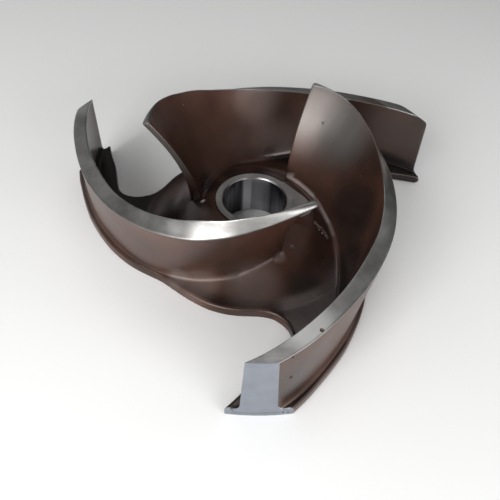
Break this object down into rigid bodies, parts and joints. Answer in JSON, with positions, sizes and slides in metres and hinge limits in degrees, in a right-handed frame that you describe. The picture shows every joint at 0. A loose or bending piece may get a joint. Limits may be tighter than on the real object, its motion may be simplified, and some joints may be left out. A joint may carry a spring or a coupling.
{
  "type": "open pulp pump impeller",
  "caption": "Open mixed-flow pump impeller: tall curved vanes on a scalloped back plate, with a plain bore through the hub.",
  "frame": {"origin": "centre of mass, on the bore axis, 33.2 mm above the flat back face that the impeller rests on", "axes": "+Z along the bore axis towards the open suction side, -Y towards the tip of the first vane as the picture shows it"},
  "size_m": [0.369, 0.3423, 0.12],
  "materials": {
    "cast_iron": "dark brown oiled casting skin, front edges of the vanes, tips, hub ring and bore machined bright"
  },
  "bodies": {
    "root": {"impeller_casting": "cast_iron"}
  },
  "joints": []
}
